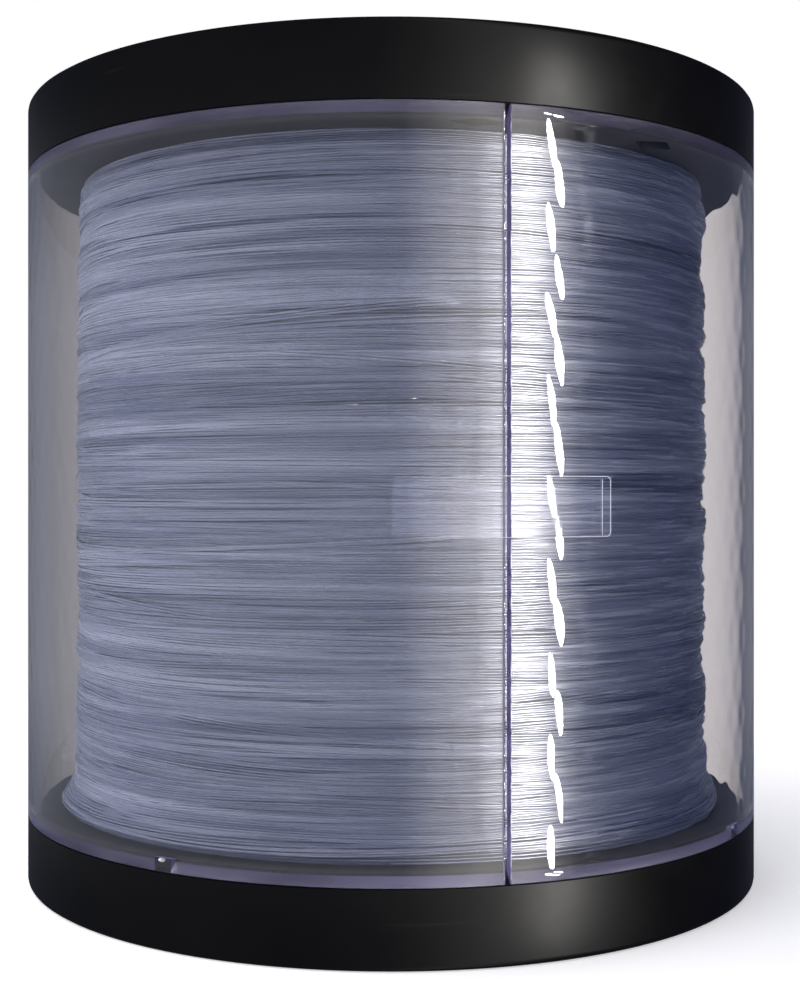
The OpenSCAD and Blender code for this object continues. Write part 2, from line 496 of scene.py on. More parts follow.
def painted_glint_edge():
    """The cover's outer corner at the seam: a painted highlight, near white here and there along
    the corner.
    """
    mat, tree, shader = new_material("clear_cover_corner", {"Transmission Weight": 0.2})
    breaks = noise(tree, position(tree, (1.0, 1.0, 260.0)), 1.0, 3.0, 0.7)
    tone = remap(tree, breaks, 0.45, 0.60, 0.0, 1.0)
    colour = mix_colours(tree, tone, (0.10, 0.07, 0.20), (0.95, 0.95, 0.97))
    set_surface(tree, shader, colour, remap(tree, breaks, 0.3, 0.7, 0.5, 0.25))
    return mat


def frosted_plastic(name, colour, rough):
    """Cut or torn plastic: whitish, rough and half clear."""
    mat, tree, shader = new_material(name, {"Transmission Weight": 0.5})
    grit = noise(tree, position(tree), 4000.0, 3.0)
    tone = mix_colours(tree, grit, tuple(c * 0.8 for c in colour), colour)
    grainy = remap(tree, grit, 0.3, 0.7, rough, rough + 0.25)
    set_surface(tree, shader, tone, grainy, bump(tree, grit, 0.5, 0.03 * MM))
    return mat


def film_edge():
    """The film's cut edge: a painted highlight in places, fading out towards the left."""
    mat, tree, shader = new_material("seal_edge", {"Transmission Weight": 0.5})
    breaks = noise(tree, position(tree, (180.0, 180.0, 180.0)), 1.0, 3.0, 0.7)
    # Painted highlight, shown less and less towards the left (lower X)
    glint_fade = remap(tree, coordinate(tree, "X"), 2 * MM, 20 * MM, 0.72, 0.25)
    shown = remap(tree, maths(tree, "SUBTRACT", breaks, glint_fade), -0.12, 0.10, 0.0, 1.0)
    colour = mix_colours(tree, breaks, (0.5, 0.5, 0.6), (0.92, 0.93, 0.97))
    set_surface(tree, shader, colour, remap(tree, breaks, 0.3, 0.7, 0.5, 0.25))
    mix_shaders(tree, shown, node(tree, "ShaderNodeBsdfTransparent"), shader)
    return mat


def label_paper():
    """Coated paper with paper fibres, and a plain printed ring near each edge."""
    mat, tree, shader = new_material("label_paper", {"Specular IOR Level": 0.04})
    radius = axis_distance(tree)
    ring = None
    for r, half in ((LABEL_R - 1.6 * MM, 0.55 * MM), (LABEL_IN_R + 1.4 * MM, 0.3 * MM)):
        off = maths(tree, "ABSOLUTE", maths(tree, "SUBTRACT", radius, r))
        band = remap(tree, off, half, half + 0.08 * MM, 1.0, 0.0)
        ring = band if ring is None else maths(tree, "MAXIMUM", ring, band)
    fibres = noise(tree, position(tree), 900.0, 5.0, 0.65)
    plain = mix_colours(tree, fibres, (0.50, 0.51, 0.52), (0.62, 0.62, 0.62))
    colour = mix_colours(tree, ring, plain, (0.05, 0.10, 0.22))
    rough = remap(tree, fibres, 0.3, 0.7, 0.6, 0.8)
    set_surface(tree, shader, colour, rough, bump(tree, fibres, 0.2, 0.04 * MM))
    return mat


def worn_plain(name, dark, light, scale, rough, grain):
    """A plain surface with cloudy tone and a fine grain."""
    mat, tree, shader = new_material(name, {})
    cloud = noise(tree, position(tree), scale, 4.0, 0.6)
    fine = noise(tree, position(tree), grain, 2.0)
    uneven = remap(tree, cloud, 0.3, 0.7, rough - 0.06, rough + 0.08)
    normal = bump(tree, fine, 0.2, 0.03 * MM)
    set_surface(tree, shader, mix_colours(tree, cloud, dark, light), uneven, normal)
    return mat


BLACK = black_plastic()
LINE = line_plastic()
SHADED_DEEP_LINE = shaded_deep_line()
CLEAR = clear_plastic(
    "clear_cover", (0.985, 0.985, 0.995), (0.64, 0.58, 0.82), 24.0, 0.012, COVER_IOR
)
# Chamfers and cut ends, with painted light in their colour
CHAMFER = edge_plastic("clear_cover_chamfer", (0.006, 0.006, 0.020), (0.20, 0.19, 0.31), 0.12)
CUT = edge_plastic("clear_cover_cut", (0.036, 0.024, 0.10), (0.13, 0.11, 0.28), 0.35)
PAINTED_GLINT = painted_glint_edge()
FILM = clear_plastic("seal_film", (0.97, 0.97, 0.98), (1, 1, 1), 0.0, 0.015, 1.16)
FILM_EDGE = film_edge()
GATE = frosted_plastic("gate_vestige", (0.85, 0.86, 0.88), 0.4)
PAPER = label_paper()
CORE = worn_plain("core_plastic", (0.03, 0.03, 0.032), (0.06, 0.06, 0.065), 60.0, 0.45, 3000.0)
TAPE = worn_plain("cream_tape", (0.62, 0.55, 0.36), (0.75, 0.69, 0.50), 200.0, 0.5, 2500.0)


# ---------------------------------------------------------------- flanges

def flange_outline():
    """Section of the lower flange: rim, bevel seat, web, core socket, hub tube and boss."""
    bevel_in = SPOOL_R - SEAT_LAND - (FACE_Z0 - RIM_H)
    rim_in = SPOOL_R - RIM_WALL
    web_z = FACE_Z0 - WEB_T
    boss_r = CORE_R + BOSS_WALL
    floor_z = BOSS_Z + BOSS_T
    hub_r = ARBOR_R + HUB_WALL
    pocket_in, pocket_out, pocket_z = LABEL_IN_R - LABEL_GAP, LABEL_R + LABEL_GAP, BOSS_Z + LABEL_T
    # Radius, height, and in mm the rounding of each corner
    corners = [
        (SPOOL_R, 0, 0.9), (SPOOL_R, RIM_H, 0.18), (SPOOL_R - SEAT_LAND, RIM_H, 0),
        (bevel_in, FACE_Z0, 0.25), (CORE_R, FACE_Z0, 0.2), (CORE_R, floor_z, 0.2),
        (hub_r, floor_z, 0.5), (hub_r, HUB_TOP, 0.4),
        (ARBOR_R, HUB_TOP, 0.3), (ARBOR_R, BOSS_Z, 0.4),
        (pocket_in, BOSS_Z, 0.06), (pocket_in, pocket_z, 0),
        (pocket_out, pocket_z, 0), (pocket_out, BOSS_Z, 0.06),
        (boss_r, BOSS_Z, 0.4), (boss_r, web_z, 0.5), (rim_in, web_z, 0.5), (rim_in, 0, 0.4),
    ]
    return rounded_outline([(r, z, radius * MM) for r, z, radius in corners], 4)


def rib_mesh(r_in, r_out, z_low, z_high, thickness, angle):
    """A radial rib that thins a little towards its rounded free edge, which is its low side."""
    root, tip, soft = thickness / 2 * 1.15, thickness / 2 * 0.9, thickness * 0.28
    section = rounded_outline(
        [(-root, z_high, 0), (-tip, z_low, soft), (tip, z_low, soft), (root, z_high, 0)], 4
    )
    out, across = axes_at(angle)
    rings = [
        [out * r + across * s + np.array([0, 0, z]) for s, z in section] for r in (r_in, r_out)
    ]
    sides, caps = loft_faces(2, len(section), True)
    return np.array(rings), [sides[:, ::-1], caps]


def fixed_normals(obj):
    """The object, with every face turned outward."""
    bm = bmesh.new()
    bm.from_mesh(obj.data)
    bmesh.ops.recalc_face_normals(bm, faces=bm.faces)
    bm.to_mesh(obj.data)
    bm.free()
    return obj


def flange(name, top=False):
    """One flange with its ribs, and if it is the top one turned over, with the keeper holes."""
    body = lathe(name, flange_outline(), 288, BLACK)
    rim_in, boss_r = SPOOL_R - RIM_WALL, CORE_R + BOSS_WALL
    root_z = FACE_Z0 - WEB_T / 2
    ribs = [
        rib_mesh(boss_r - RIB_SINK, rim_in + RIB_SINK, RIB_Z, root_z, RIB_T,
                 RIB_OFFSET + i * 360 / RIB_COUNT)
        for i in range(RIB_COUNT)
    ]
    ribs += [
        rib_mesh(ARBOR_R + HUB_WALL / 2, CORE_R - GUSSET_GAP, GUSSET_TOP, BOSS_Z + BOSS_T / 2,
                 GUSSET_T, RIB_OFFSET + i * 360 / GUSSET_COUNT)
        for i in range(GUSSET_COUNT)
    ]
    rib_object = joined(name + "_ribs", ribs, BLACK)
    half = RIB_T / 2
    ring = rounded_outline(
        [(RING_RIB_R - half, RIB_Z, half * 0.5), (RING_RIB_R + half, RIB_Z, half * 0.5),
         (RING_RIB_R + half, root_z, 0), (RING_RIB_R - half, root_z, 0)], 4
    )
    ring_object = lathe(name + "_ring", ring, 240, BLACK)
    for obj in (body, rib_object, ring_object):
        fixed_normals(obj)
    boolean(body, "UNION", rib_object)
    boolean(body, "UNION", ring_object)
    if top:
        body.data.transform(mirror_up())
        body.data.flip_normals()
        boolean(body, "DIFFERENCE", keeper_cutter())
    finish_mesh(body, BLACK, 32)
    return body


def mirror_up():
    """Turns a lower piece into its upper twin."""
    return Matrix.Translation((0, 0, SPOOL_H)) @ Matrix.Diagonal((1, 1, -1, 1))


def keeper_cutter():
    """Diamond prisms with soft corners, which make the two holes for the line's end."""
    parts = []
    for angle in KEEPER_ANGLES:
        outline = rounded_outline(
            [(-KEEPER_H / 2, 0, 0.3 * MM), (0, -KEEPER_W / 2, 0.4 * MM),
             (KEEPER_H / 2, 0, 0.3 * MM), (0, KEEPER_W / 2, 0.4 * MM)], 4
        )
        out, across = axes_at(angle)
        rings = [
            [out * (KEEPER_R + u) + across * v + np.array([0, 0, z]) for u, v in outline]
            for z in (FACE_Z1 - 1 * MM, FACE_Z1 + WEB_T + 1 * MM)
        ]
        parts.append((np.array(rings), loft_faces(2, len(outline))))
    return fixed_normals(joined("keeper_cutter", parts, BLACK))


for piece_name, cad_node, is_top in (("flange_lower", "lower_flange", False),
                                     ("flange_upper", "upper_flange", True)):
    piece = flange(piece_name, is_top)
    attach(piece, "spool")
    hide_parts(cad_node)


# ---------------------------------------------------------------- clear cover

RIPPLE_ARC = 4.6 * MM
RIPPLE_Z = 10.4 * MM
RIPPLE_DEPTH = 0.0035 * MM
INNER_PHASE = 1.3
WALL_ROWS = 92
COLUMN_ARC = 0.45 * MM
HINGE_COLUMNS = 14
HINGE_REACH = HINGE_W / 2 + 1.2 * MM
END_ROUND = 0.12 * MM
HINGE_ROUND = 0.3
ON_FACE = 0.02 * MM


def ripple(degrees, z, phase):
    """The moulding's faint waviness, in checks a few millimetres across."""
    count = round(2 * math.pi * SPOOL_R / RIPPLE_ARC)
    a, turn = np.radians(degrees), 2 * math.pi
    drift = 0.5 * np.sin(3 * a + z * turn / (43 * MM)) + 0.4 * np.sin(z * turn / (27 * MM) + phase)
    return RIPPLE_DEPTH * np.sin(count * a + phase + drift) * np.sin(turn * z / RIPPLE_Z + drift)


def wall_at(distance_to_hinge):
    """Thickness of the wall at a distance from the hinge line: it thins in a smooth groove."""
    t = np.clip((distance_to_hinge - HINGE_W / 2) / HINGE_RUN, 0, 1)
    return HINGE_T + (COVER_WALL - HINGE_T) * eased(t)


def cover_section(wall):
    """Section of the cover: two lands, two inner chamfers, all edges just broken."""
    cut = max(wall - SEAT_LAND, 0.02 * MM)
    land = SPOOL_R - SEAT_LAND
    corners = [
        (SPOOL_R, COVER_Z0, 0.10), (SPOOL_R, COVER_Z1, 0.10), (land, COVER_Z1, 0.05),
        (land - cut, COVER_Z1 - cut, 0.10), (land - cut, COVER_Z0 + cut, 0.10),
        (land, COVER_Z0, 0.05),
    ]
    shrink = min(1.0, cut / (0.6 * MM))
    return rounded_outline([(r, z, radius * MM * shrink) for r, z, radius in corners], 2)


def cover_half(name, start, end, hinge_at_end):
    """Half of the cover between two angles, one of them at the hinge and the other at the seam."""
    edge = END_ROUND
    step = arc_deg(COLUMN_ARC)
    inner = np.linspace(start + arc_deg(edge), end - arc_deg(edge), int((end - start) / step))
    hinge = end if hinge_at_end else start
    off = np.linspace(arc_deg(edge), arc_deg(HINGE_REACH), HINGE_COLUMNS)
    close = hinge + (-off if hinge_at_end else off)
    columns = sorted([(a, 0.0) for a in set(np.round(np.concatenate([inner, close]), 5))])
    turned = [math.radians(15 * k) for k in range(1, 7)]
    soft = [(arc_deg(edge * math.sin(t)), edge * (1 - math.cos(t))) for t in turned]
    at_start = [(start + arc_deg(edge) - reach, inset) for reach, inset in soft][::-1]
    at_end = [(end - arc_deg(edge) + reach, inset) for reach, inset in soft]
    if hinge_at_end:
        at_end = [(a, inset * HINGE_ROUND) for a, inset in at_end]
    else:
        at_start = [(a, inset * HINGE_ROUND) for a, inset in at_start]
    rings = []
    for angle, inset in at_start + columns + at_end:
        wall = float(wall_at(abs(angle - hinge) * math.pi / 180 * SPOOL_R))
        section = stretched(cover_section(wall), WALL_ROWS)
        if inset:
            off = section[:, 0] - (SPOOL_R - wall / 2)
            section[:, 0] -= np.sign(off) * np.minimum(inset, np.abs(off))
            section[:, 1] = MID_Z + (section[:, 1] - MID_Z) * (1 - inset / (SPOOL_H / 2))
        r, z = section[:, 0], section[:, 1]
        outer, inside = r > SPOOL_R - ON_FACE, r < SPOOL_R - wall + ON_FACE
        wave = np.where(outer, ripple(angle, z, 0.0), 0.0)
        full_wall = wall > COVER_WALL * 0.9
        wave = wave + np.where(inside & full_wall, ripple(angle, z, INNER_PHASE), 0.0)
        rings.append(polar(r + wave, angle, z))
    rings = np.array(rings)
    return fixed_normals(mesh_object(name, rings, loft_faces(*rings.shape[:2], True), CLEAR))


def stretched(outline, rows):
    """The cover's section with even rows on its long walls, always as many points."""
    out = []
    for i in range(len(outline)):
        a, b = outline[i], outline[(i + 1) % len(outline)]
        pieces = rows if abs(b[1] - a[1]) > SPOOL_H / 2 else 1
        out += [a + (b - a) * k / pieces for k in range(pieces)]
    return np.array(out)


def gate_cutter(angles):
    """Prisms that cut the gate recesses: one side upright, one side slanting."""
    wide, foot, below, high, wall = 1.5 * MM, 0.9 * MM, -0.5 * MM, 1.75 * MM, 0.35 * MM
    shape = [(-wide, below), (foot, below), (wide, high), (-wide, high)]
    parts = []
    for angle in angles:
        rings = [
            [polar(r, angle + arc_deg(s), COVER_Z0 + h) for s, h in shape]
            for r in (SPOOL_R - COVER_WALL - 1 * MM, SPOOL_R - wall)
        ]
        parts.append((np.array(rings), loft_faces(2, 4, True)))
    return fixed_normals(joined("gate_cutter", parts, CLEAR))


def mark_edges(obj, glint_at_seam):
    """Gives the chamfers, the cut faces and, on one half, the painted highlight of the outer
    corner at the seam their own materials, by the way each face looks."""
    chamfer, cut, bright = 1, 2, 3
    mesh = obj.data
    for material in (CHAMFER, CUT, PAINTED_GLINT):
        mesh.materials.append(material)
    count = len(mesh.polygons)
    centres, normals = np.zeros(count * 3), np.zeros(count * 3)
    mesh.polygons.foreach_get("center", centres)
    mesh.polygons.foreach_get("normal", normals)
    centres, normals = centres.reshape(-1, 3), normals.reshape(-1, 3)
    out = centres * np.array([1.0, 1.0, 0.0])
    radius = np.linalg.norm(out, axis=1)
    out /= radius[:, None]
    facing_out = (normals * out).sum(axis=1)
    upright = np.abs(normals[:, 2]) < 0.4
    index = np.zeros(count, np.int32)
    index[(facing_out < -0.4) & (np.abs(normals[:, 2]) > 0.4)] = chamfer
    index[np.abs(facing_out) < 0.55] = cut
    at_seam = (out @ polar(1.0, SEAM_ANGLE, 0.0) > math.cos(math.radians(1.5))) & upright
    turned = at_seam & (radius > SPOOL_R - 0.3 * MM) & (facing_out < 0.985)
    index[turned] = cut
    # The painted highlight along the seam's outer corner, on one half only
    if glint_at_seam:
        index[turned & (facing_out > 0.45)] = bright
    mesh.polygons.foreach_set("material_index", index)
    mesh.update()


half_gap = arc_deg(SEAM_GAP / 2)
half_hinge_gap = arc_deg(HINGE_GAP / 2)
COVER_HALVES = (
    ("clear_cover_right", "cover_right",
     SEAM_ANGLE + half_gap, HINGE_ANGLE - half_hinge_gap, True, GATE_ANGLES[1:3]),
    ("clear_cover_left", "cover_left",
     HINGE_ANGLE + half_hinge_gap, SEAM_ANGLE + 360 - half_gap, False,
     (GATE_ANGLES[3], GATE_ANGLES[0] + 360)),
)
for piece_name, body, start, end, hinge_at_end, gates in COVER_HALVES:
    piece = cover_half(piece_name, start, end, hinge_at_end)
    boolean(piece, "DIFFERENCE", gate_cutter(gates))
    finish_mesh(piece, CLEAR, 28)
    mark_edges(piece, hinge_at_end)
    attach(piece, body)
    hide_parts(body)


def gate_vestiges(name, angles):
    """The torn stub that each moulding gate leaves at the upper corner of its recess."""
    rng = np.random.default_rng(11)
    rows, cols = 9, 14
    v = np.linspace(0, math.pi, rows)
    v, u = np.meshgrid(v, np.arange(cols) * 2 * math.pi / cols, indexing="ij")
    parts = []
    for angle in angles:
        lump = 1 + 0.18 * np.sin(3 * u + rng.uniform(0, 6)) * np.sin(2 * v + rng.uniform(0, 6))
        across = 0.52 * MM * lump * np.sin(v) * np.cos(u) - 0.5 * MM
        up = 0.30 * MM * lump * np.sin(v) * np.sin(u) + COVER_Z0 + 1.42 * MM
        radial = SPOOL_R - 0.62 * MM + 0.24 * MM * np.cos(v) * lump
        points = polar(radial, angle + np.degrees(across / SPOOL_R), up)
        parts.append((points, [grid_faces(rows, cols, False, True)]))
    return joined(name, parts, GATE)


GATE_STUBS = (
    ("gate_stubs_right", "cover_right", GATE_ANGLES[1:3]),
    ("gate_stubs_left", "cover_left", (GATE_ANGLES[0], GATE_ANGLES[3])),
)
for piece_name, body, gates in GATE_STUBS:
    piece = gate_vestiges(piece_name, gates)
    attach(piece, body)


# ---------------------------------------------------------------- seal

def seal_film():
    """The clear strip: a rounded rectangle bent round the cover, with its thickness."""
    half_w, half_h, corner = SEAL_REACH, SEAL_H / 2, SEAL_CORNER
    t = np.linspace(-1, 1, 41)
    z = half_h * np.sign(t) * (1 - (1 - np.abs(t)) ** 1.6)
    over = np.clip(np.abs(z) - (half_h - corner), 0, corner)
    reach = half_w - (corner - np.sqrt(np.maximum(corner ** 2 - over ** 2, 0)))
    s = np.linspace(-1, 1, 97)
    across = reach[:, None] * s[None, :]
    rows, cols = across.shape
    skins = [
        polar(SPOOL_R + lift, SEAM_ANGLE + np.degrees(across / SPOOL_R), SEAL_Z + z[:, None])
        for lift in (SEAL_LIFT, SEAL_LIFT + SEAL_T)
    ]
    edge = (
        [c for c in range(cols)]
        + [r * cols + cols - 1 for r in range(1, rows)]
        + [(rows - 1) * cols + c for c in range(cols - 2, -1, -1)]
        + [r * cols for r in range(rows - 2, 0, -1)]
    )
    count = rows * cols
    walls = [[a, b, b + count, a + count] for a, b in zip(edge, edge[1:] + edge[:1])]
    points = np.concatenate([skin.reshape(-1, 3) for skin in skins])
    faces = [grid_faces(rows, cols)[:, ::-1], grid_faces(rows, cols, start=count), walls]
    return fixed_normals(mesh_object("seal", points, faces, FILM, 40))


def seal_edges():
    """The film's cut edge, which carries a painted highlight, and the second line where its tab
    ends.
    """
    half_w, half_h = SEAL_REACH, SEAL_H / 2
    outline = rounded_outline(
        [(-half_w, -half_h, SEAL_CORNER), (half_w, -half_h, SEAL_CORNER),
         (half_w, half_h, SEAL_CORNER), (-half_w, half_h, SEAL_CORNER)], 6
    )
    outline = split_long(outline, 0.6 * MM)
    thick, tab, tab_rows = 0.055 * MM, 1.35 * MM, 24
    r = SPOOL_R + SEAL_LIFT + SEAL_T * 0.5
    loop = polar(r, SEAM_ANGLE + np.degrees(outline[:, 0] / SPOOL_R), SEAL_Z + outline[:, 1])
    z = np.linspace(-half_h + 0.1 * MM, half_h - 0.35 * MM, tab_rows)
    fold = SEAM_ANGLE + np.full(tab_rows, arc_deg(half_w - tab))
    line = polar(r + 0.04 * MM, fold, SEAL_Z + z)
    parts = [tube_mesh(loop, thick, 6, True), tube_mesh(line, thick * 0.8, 6)]
    return joined("seal_edge", parts, FILM_EDGE)


seal = seal_film()
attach(seal, "cover_right")
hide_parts("seam_seal")
seal_rim = seal_edges()
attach(seal_rim, "cover_right")


# ---------------------------------------------------------------- wound line

LINE_D = 0.31 * MM  # pitch of the turns
LINE_R = 0.172 * MM
LINE_SIDES = 6
TURN_STEPS = 150
BANDS = 4
BUNDLES = 480
BUNDLE_BANDS = 12
STRAYS = 26
PACK_R = 49.8 * MM
UNDER = 1.5  # depth of hidden ends and of the solid pack, in pitches


def waves(rng, count, z_range, amount, turns):
    """Random waves over angle and height, each as (turns round, wavelength up, phase, size)."""
    out = []
    for _ in range(count):
        length = math.exp(rng.uniform(math.log(z_range[0]), math.log(z_range[1])))
        m = int(rng.integers(-turns, turns + 1))
        out.append((m, length, rng.uniform(0, 2 * math.pi), amount * rng.uniform(0.5, 1)))
    return out


def summed(wave_list, a, z):
    """Sum of the waves at an angle in radians and a height."""
    return sum(
        size * np.sin(m * a + 2 * math.pi * z / length + phase)
        for m, length, phase, size in wave_list
    )


rng = np.random.default_rng(7)
DRIFT = (waves(rng, 7, (3.0 * MM, 9.0 * MM), 0.20 * MM, 3)
         + waves(rng, 5, (12 * MM, 30 * MM), 0.35 * MM, 2))
SWELL = (waves(rng, 7, (5.0 * MM, 16 * MM), 0.055 * MM, 2)
         + waves(rng, 5, (1.4 * MM, 3.2 * MM), 0.05 * MM, 4))
LINE_Z0, LINE_Z1 = FACE_Z0 + LINE_D * 0.55, FACE_Z1 - LINE_D * 0.55


def pack_radius(z):
    """Outer radius of the pack at a height: it spreads at the foot and draws in at the top."""
    heights = np.array([0, 1.6, 4.5, 24, 47, 75, 91, 94.9]) * MM + FACE_Z0
    radii = PACK_R + np.array([2.3, 1.6, 0.2, -0.2, 0.0, -0.1, -0.35, -0.7]) * MM
    return np.interp(z, heights, radii)


def strand(a, height, lift):
    """Centre line at angles and heights, lifted over the pack's radius by so many pitches."""
    r = pack_radius(height) + summed(SWELL, a, height) + LINE_D * lift
    return polar(r, np.degrees(a), height)


def dipping(u, span, run):
    """1 along a strand, and 0 at its ends, where it dips under within a run in degrees."""
    return eased(np.minimum(1, np.minimum(u, 1 - u) * span / run))


def turn_paths():
    """Centre line of the outermost full layer: one long helix that wanders and heaps a little."""
    turns = (LINE_Z1 - LINE_Z0) / LINE_D
    t = np.arange(int(turns * TURN_STEPS) + 1) / TURN_STEPS
    a = t * 2 * math.pi
    z0 = LINE_Z0 + t * LINE_D
    fade = np.clip(np.minimum(z0 - LINE_Z0, LINE_Z1 - z0) / (3 * MM), 0, 1)
    z = z0 + fade * summed(DRIFT, a, z0)
    step = 0.2 * MM
    crowd = -fade * (summed(DRIFT, a, z0 + step) - summed(DRIFT, a, z0 - step)) / (2 * step)
    alternate = 0.5 + 0.5 * np.sin(math.pi * t + 1.3 * np.sin(2 * a))
    heap = LINE_D * 0.6 * np.clip(crowd, -0.15, 0.9) * alternate
    r = pack_radius(z) - LINE_D + summed(SWELL, a, z0) + heap
    return polar(r, np.degrees(a), np.clip(z, LINE_Z0, LINE_Z1))


def bundle_paths(z0):
    """A few neighbouring turns that lie on the others for part of the way round, wander together,
    spread and close up, and dip under at both ends."""
    count = int(rng.integers(2, 8))
    start, span = rng.uniform(0, 360), rng.uniform(70, 300)
    u = np.linspace(0, 1, int(span / 2.4))
    a = np.radians(start + span * u)
    z = z0 + rng.normal(0, 0.45) * MM * span / 100 * (u - 0.5)
    z = z + 0.6 * summed(DRIFT, a, np.full_like(u, z0))
    for m in (2, 3, 5):
        z = z + rng.normal(0, 0.20) * MM * np.sin(m * a + rng.uniform(0, 2 * math.pi))
    pitch = LINE_D * (1 + 0.16 * np.sin(rng.integers(1, 5) * a + rng.uniform(0, 2 * math.pi)))
    dip = dipping(u, span, rng.uniform(10, 26))
    lift = rng.uniform(-0.8, 0.95)
    lift = lift + 0.3 * np.sin(rng.integers(1, 4) * a + rng.uniform(0, 2 * math.pi))
    paths = []
    for j in range(count):
        off = j - (count - 1) / 2
        own = 0.05 * MM * np.sin(rng.integers(2, 7) * a + rng.uniform(0, 2 * math.pi))
        height = np.clip(z + off * pitch + own, LINE_Z0, LINE_Z1)
        crown = 0.6 * (2 * off / count) ** 2
        paths.append(strand(a, height, (lift - crown) * dip - UNDER * (1 - dip)))
    return paths


def stray_paths():
    """Two or three turns side by side that cross the others on a slant, on top of everything."""
    start, span = rng.uniform(0, 360), rng.uniform(60, 130)
    u = np.linspace(0, 1, int(span / 2.0))
    a = np.radians(start + span * u)
    slant = rng.uniform(3.0, 7.0) * MM * rng.choice([-1, 1])
    z = rng.uniform(FACE_Z0 + 12 * MM, FACE_Z1 - 12 * MM) + slant * (u - 0.5)
    dip = dipping(u, span, 16)
    paths = []
    for j in range(int(rng.integers(2, 4))):
        height = z + j * LINE_D * (1.05 + 0.3 * np.sin(a * 3 + rng.uniform(0, 2 * math.pi)))
        paths.append(strand(a, height, 1.15 * dip - UNDER * (1 - dip)))
    return paths


def wind_line():
    """The whole pack: the outer turns, the bundles that lie on them, the strays on top, and the
    solid pack below, which stands for all the rest."""
    path = turn_paths()
    size = len(path) // BANDS
    made = []
    for i in range(BANDS):
        last = len(path) if i == BANDS - 1 else (i + 1) * size + 1
        turns = tube_mesh(path[i * size:last], LINE_R, LINE_SIDES)
        made.append(joined(f"line_turns_{i + 1}", [turns], LINE))
    per_band = BUNDLES // BUNDLE_BANDS
    heights = np.linspace(FACE_Z0 + 1 * MM, FACE_Z1 - 1 * MM, BUNDLES)
    heights = heights + rng.normal(0, 0.5, BUNDLES) * MM
    for i in range(BUNDLE_BANDS):
        parts = [tube_mesh(p, LINE_R, LINE_SIDES)
                 for z0 in heights[i * per_band:(i + 1) * per_band] for p in bundle_paths(z0)]
        made.append(joined(f"line_bundles_{i + 1}", parts, LINE))
    parts = [tube_mesh(p, LINE_R, LINE_SIDES) for _ in range(STRAYS) for p in stray_paths()]
    made.append(joined("line_strays", parts, LINE))
    levels = np.linspace(FACE_Z0, FACE_Z1, 160)
    angles = np.arange(360) * 1.0
    a, z = np.meshgrid(np.radians(angles), levels, indexing="ij")
    bore_r = np.full((360, 1), CORE_R + 0.02 * MM)
    bore = [polar(bore_r, angles[:, None], levels[None, [end]]) for end in (-1, 0)]
    rings = np.concatenate([strand(a, z, -UNDER), *bore], axis=1)
    faces = [grid_faces(360, rings.shape[1], True, True)]
    pack = fixed_normals(mesh_object("line_pack", rings, faces, SHADED_DEEP_LINE, 50))
    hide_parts("line_winding")
    return made + [pack]


for piece in wind_line():
    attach(piece, "spool")


# ---------------------------------------------------------------- CAD pieces that stay

KEPT_NODES = (
    ("core_tube", CORE), ("start_tape", TAPE), ("lower_label", PAPER), ("upper_label", PAPER),
)
for cad_name, material in KEPT_NODES:
    cad_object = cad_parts[cad_name]
    for cad_slot in cad_object.material_slots:
        cad_slot.material = material


# ---------------------------------------------------------------- floor, light and camera

def hide_from(obj, *rays):
    """Keeps an object from what rays of these kinds see."""
    for ray in rays:
        setattr(obj, f"visible_{ray}", False)


def stage_floor():
    """A pale round floor that melts into the background at its edge."""
    mat, tree, shader = new_material("studio_floor", {
        "Base Color": (0.86, 0.86, 0.87, 1), "Roughness": 0.7, "Specular IOR Level": 0.1,
        "Emission Color": (1.0, 1.0, 1.0, 1), "Emission Strength": 0.42,
    })
    fade = remap(tree, vector_length(tree, object_place(tree)), 0.09, 0.30, 0.0, 1.0)
    mix_shaders(tree, fade, shader, node(tree, "ShaderNodeBsdfTransparent"))
    radii, sides = np.array([0.001, 0.1, 0.2, 0.31]), 96
    rings = polar(radii[:, None], np.arange(sides)[None, :] * 360 / sides, 0.0)
    floor = mesh_object("floor", rings, [grid_faces(len(radii), sides, False, True)], mat)
    fixed_normals(floor)
    hide_from(floor, "diffuse", "glossy", "transmission", "shadow")


def area_light(name, angle, distance, height, size, power, colour,
               shape="RECTANGLE", aim_z=MID_Z, roll=0.0):
    """A panel at an angle round the spool, which faces a point on its axis."""
    data = bpy.data.lights.new(name, "AREA")
    data.shape = shape
    data.size, data.size_y = size
    data.energy = power
    data.color = colour
    lamp = add_object(name, data)
    x, y, _ = polar(distance, angle, 0.0)
    lamp.matrix_world = (
        Matrix.Translation((x, y, height))
        @ Matrix.Rotation(math.radians(angle), 4, "Z")
        @ Matrix.Rotation(math.atan2(distance, height - aim_z), 4, "X")
        @ Matrix.Rotation(math.radians(roll), 4, "Z")
    )
    hide_from(lamp, "camera")
    return lamp


def lamp_columns():
    """Two upright rows of small slanted lamps, staggered, which the cover and the line show as
    a chain of bright beads. They light nothing matt, and don't show through clear walls."""
    rng = np.random.default_rng(23)
    distance, pitch, width, height = 0.22, 21.2 * MM, 6.3 * MM, 12.6 * MM
    columns, half_rows = (40.8, 43.0), 5
    radiance, warm = 270.0, (1.0, 0.985, 0.95)
    for column, angle in enumerate(columns):
        for i in range(-half_rows, half_rows + 1):
            z = MID_Z + (i - 0.5 * column) * pitch + rng.uniform(-1, 1) * MM
            size = (width * rng.uniform(0.85, 1.15), height * rng.uniform(0.9, 1.15))
            power = radiance * math.pi * (math.pi / 4 * size[0] * size[1])
            lamp = area_light(f"bead_{column}_{i + half_rows}", angle, distance, z, size, power,
                              warm, "ELLIPSE", z, rng.uniform(26, 44))
            hide_from(lamp, "diffuse", "transmission")


